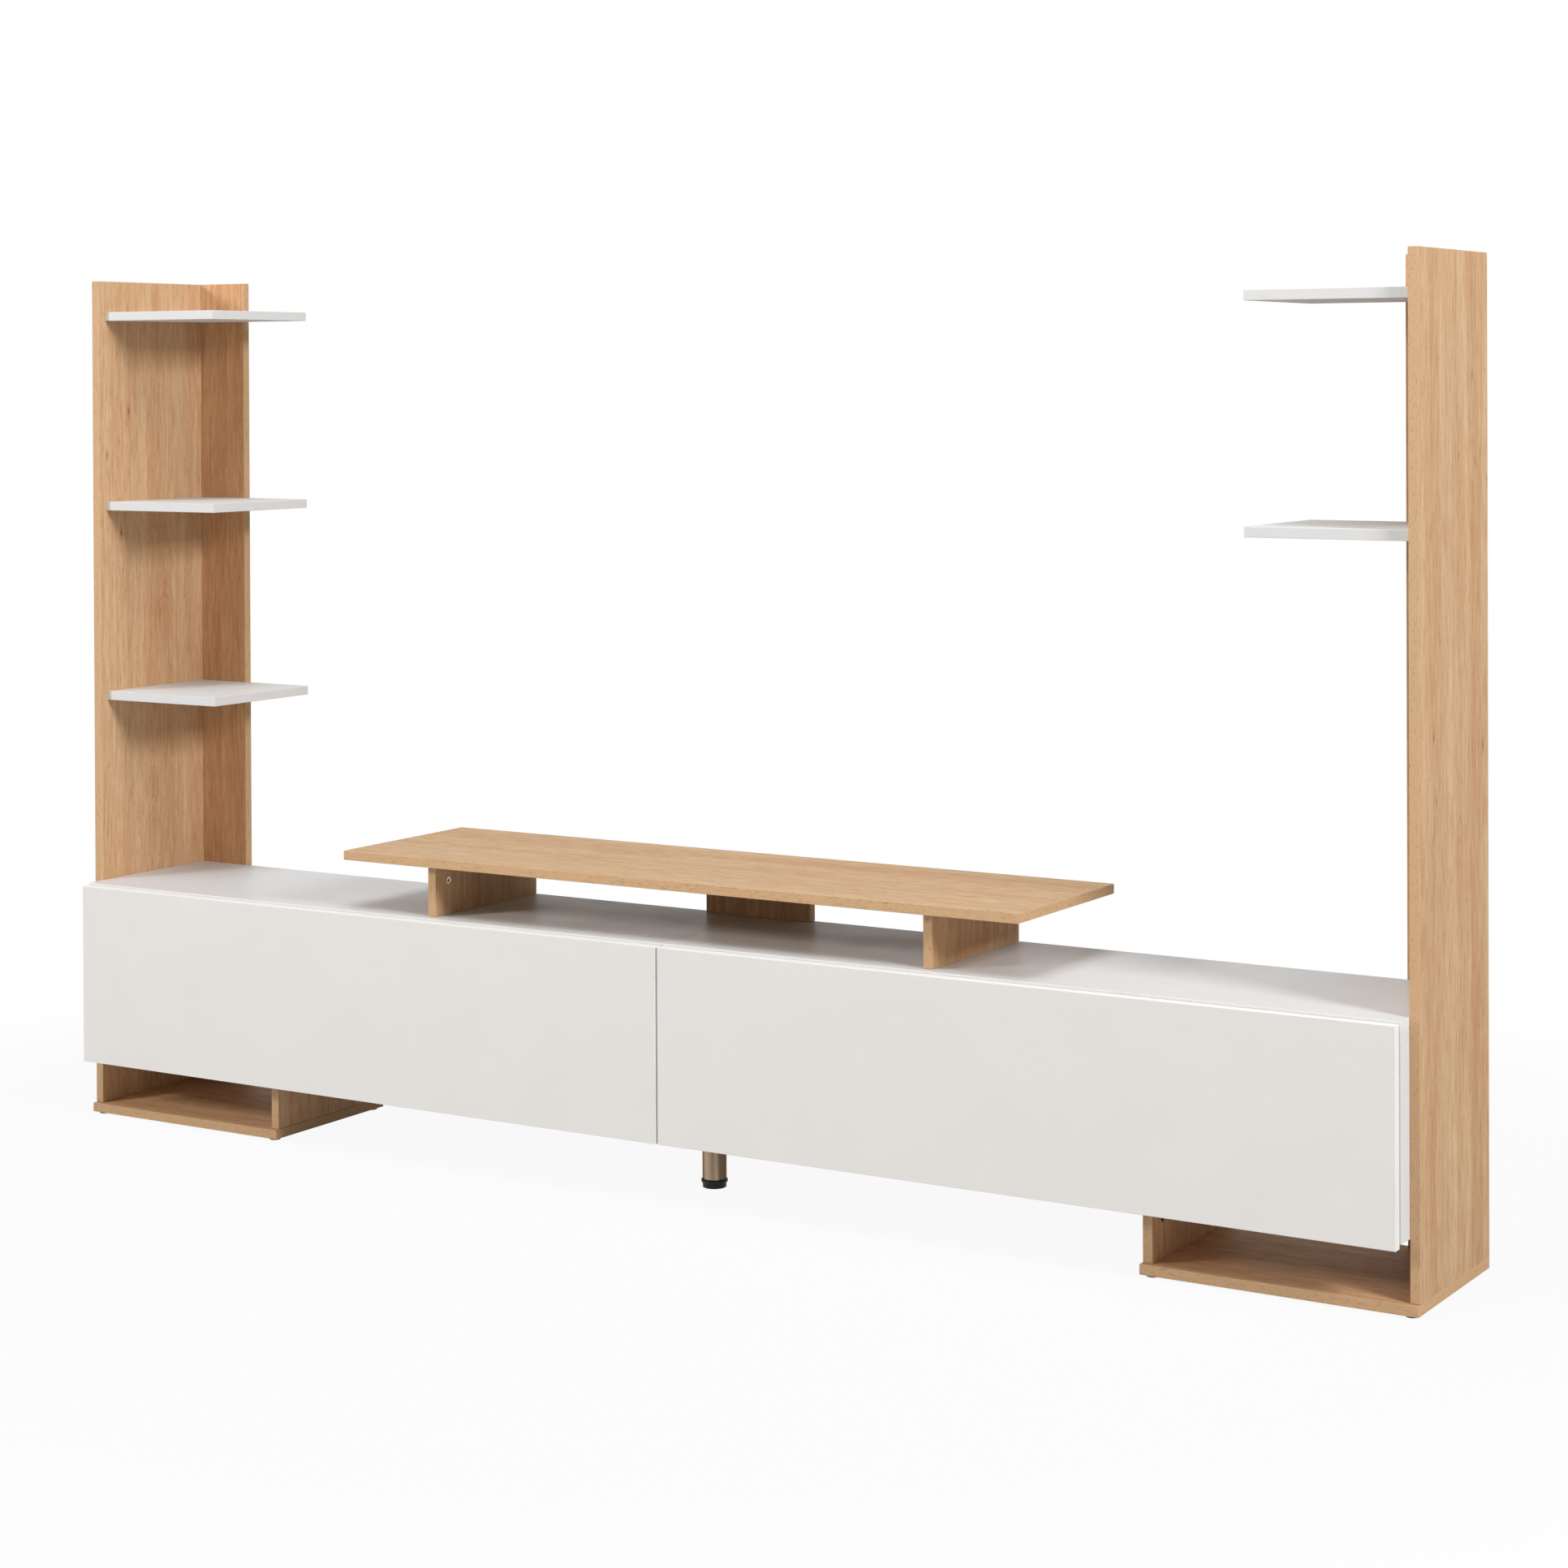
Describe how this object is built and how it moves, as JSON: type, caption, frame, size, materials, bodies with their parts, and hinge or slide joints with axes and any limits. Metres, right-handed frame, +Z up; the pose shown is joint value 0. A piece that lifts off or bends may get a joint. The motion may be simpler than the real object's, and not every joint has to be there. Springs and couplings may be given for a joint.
{
  "type": "tv cabinet",
  "caption": "Wide low TV cabinet with lift-up flap doors on end bases and a centre leg, with a shelf tower at each end and a raised board for the screen.",
  "frame": {"origin": "on the floor under the middle of the unit", "axes": "+Z up, -Y to the front, where the flaps are, +X to the right of someone facing them"},
  "size_m": [2.877, 0.3884, 1.726],
  "materials": {
    "oak": "matt light oak laminate on chipboard",
    "white": "satin white melamine on chipboard",
    "hardboard": "white lacquered thin hardboard",
    "steel": "nickel-plated pressed steel",
    "black_steel": "black lacquered steel tube",
    "zinc": "die-cast zinc",
    "nickel": "brushed nickel",
    "black_plastic": "moulded black plastic",
    "glide_plastic": "grey-brown moulded plastic"
  },
  "bodies": {
    "carcass": {"base_panel_left": "oak", "leg_panel_left": "oak", "glide_left_1": "glide_plastic", "glide_left_2": "glide_plastic", "glide_left_3": "glide_plastic", "glide_left_4": "glide_plastic", "tower_side_left": "oak", "tower_back_left": "oak", "shelf_left_lower": "white", "shelf_left_middle": "white", "shelf_left_upper": "white", "cabinet_top_left": "white", "cabinet_bottom_left": "white", "cabinet_side_outer_left": "white", "cabinet_side_inner_left": "white", "cabinet_back_left": "hardboard", "hinge_arm_left_1": "steel", "hinge_arm_left_2": "steel", "strut_anchor_left": "steel", "base_panel_right": "oak", "leg_panel_right": "oak", "glide_right_1": "glide_plastic", "glide_right_2": "glide_plastic", "glide_right_3": "glide_plastic", "glide_right_4": "glide_plastic", "tower_side_right": "oak", "tower_back_right": "oak", "shelf_right_middle": "white", "shelf_right_upper": "white", "cabinet_top_right": "white", "cabinet_bottom_right": "white", "cabinet_side_outer_right": "white", "cabinet_side_inner_right": "white", "cabinet_back_right": "hardboard", "hinge_arm_right_1": "steel", "hinge_arm_right_2": "steel", "strut_anchor_right": "steel", "riser_top": "oak", "riser_side_left": "oak", "riser_side_right": "oak", "riser_rear": "oak", "riser_cam_left_1": "zinc", "riser_cam_left_2": "zinc", "riser_cam_right_1": "zinc", "riser_cam_right_2": "zinc", "centre_leg_plate": "steel", "centre_leg_tube": "nickel"},
    "left_flap": {"flap_left": "white", "hinge_cup_left_1": "steel", "hinge_cup_left_2": "steel", "strut_bracket_left": "steel"},
    "left_strut_tube": {"strut_tube_left": "black_steel"},
    "left_strut_rod": {"strut_rod_left": "steel"},
    "right_flap": {"flap_right": "white", "hinge_cup_right_1": "steel", "hinge_cup_right_2": "steel", "strut_bracket_right": "steel"},
    "right_strut_tube": {"strut_tube_right": "black_steel"},
    "right_strut_rod": {"strut_rod_right": "steel"},
    "leg_foot": {"centre_leg_foot": "black_plastic"}
  },
  "joints": [
    {"name": "left_flap_lift", "type": "hinge", "parent": "carcass", "child": "left_flap", "pos_m": [-0.71015, -0.18415, 0.475], "axis": [-1, 0, 0], "range_deg": [0, 90]},
    {"name": "left_strut_swing", "type": "hinge", "parent": "carcass", "child": "left_strut_tube", "pos_m": [-1.38815, -0.07715, 0.2685], "axis": [1, 0, 0], "range_deg": [0, 15.7]},
    {"name": "left_strut_extend", "type": "slide", "parent": "left_strut_tube", "child": "left_strut_rod", "axis": [0, -0.4531, 0.8915], "range_m": [0, 0.0698]},
    {"name": "right_flap_lift", "type": "hinge", "parent": "carcass", "child": "right_flap", "pos_m": [0.71015, -0.18415, 0.475], "axis": [-1, 0, 0], "range_deg": [0, 90]},
    {"name": "right_strut_swing", "type": "hinge", "parent": "carcass", "child": "right_strut_tube", "pos_m": [1.38815, -0.07715, 0.2685], "axis": [1, 0, 0], "range_deg": [0, 15.7]},
    {"name": "right_strut_extend", "type": "slide", "parent": "right_strut_tube", "child": "right_strut_rod", "axis": [0, -0.4531, 0.8915], "range_m": [0, 0.0698]},
    {"name": "leg_foot_screw", "type": "slide", "parent": "carcass", "child": "leg_foot", "axis": [0, 0, -1], "range_m": [0, 0.012]}
  ],
  "couplings": [
    {"joint": "left_strut_swing", "follows": "left_flap_lift", "ratio": 0.17339},
    {"joint": "left_strut_extend", "follows": "left_flap_lift", "m_per_rad": 0.044329},
    {"joint": "right_strut_swing", "follows": "right_flap_lift", "ratio": 0.17339},
    {"joint": "right_strut_extend", "follows": "right_flap_lift", "m_per_rad": 0.044329}
  ]
}
